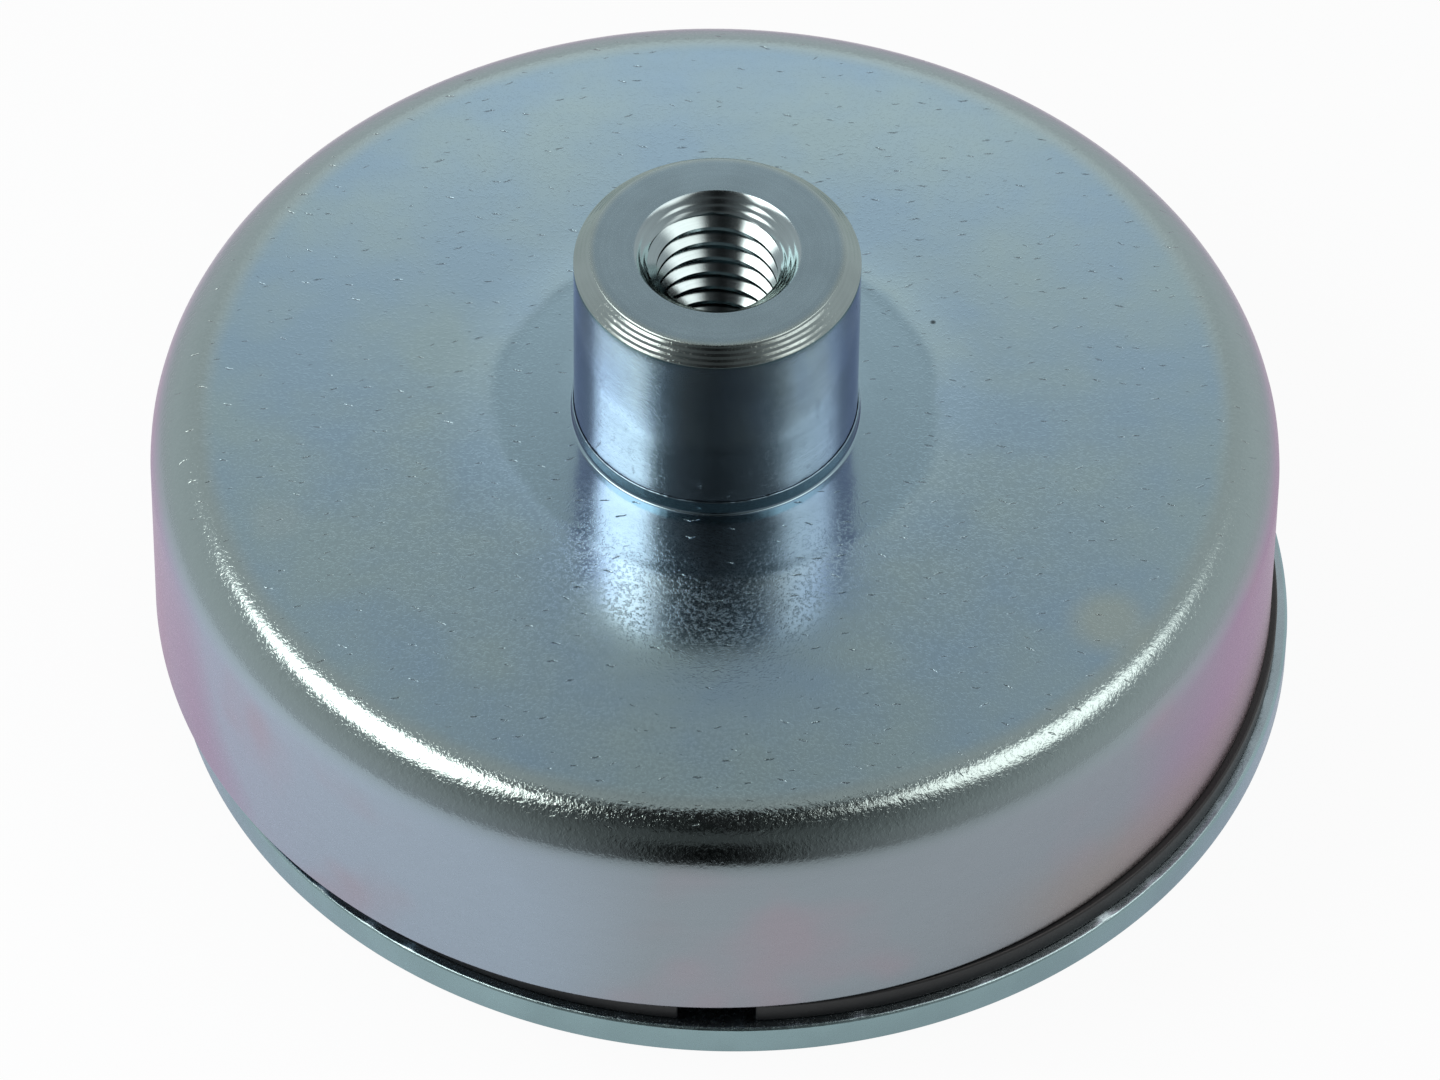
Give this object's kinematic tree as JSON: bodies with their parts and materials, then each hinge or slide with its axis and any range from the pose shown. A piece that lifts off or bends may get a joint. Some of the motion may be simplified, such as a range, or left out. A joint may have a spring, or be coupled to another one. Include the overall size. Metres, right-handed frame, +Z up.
{
  "type": "pot magnet with threaded bush",
  "caption": "Round zinc-plated pot magnet with a threaded bush on top, standing on its plastic spacer and steel keeper plate.",
  "frame": {"origin": "where the axis of the threaded bush meets the keeper plate's flat underside", "axes": "+Z up along the bush's axis, out of its threaded mouth; -Y towards the spacer's prying slot"},
  "size_m": [0.0813, 0.0805, 0.038],
  "materials": {
    "zinc_steel": "bright zinc plate over drawn and rolled steel, satin",
    "bright_zinc": "bright blue-white zinc plate over turned steel",
    "black_plastic": "moulded black plastic, satin",
    "ferrite": "ground hard ferrite, dark grey",
    "resin": "cast black epoxy resin"
  },
  "bodies": {
    "root": {"pot_cup": "zinc_steel", "threaded_bush": "bright_zinc", "ferrite_disc": "ferrite", "resin_bed": "resin", "spacer_disc": "black_plastic", "keeper_plate": "zinc_steel"}
  },
  "joints": []
}
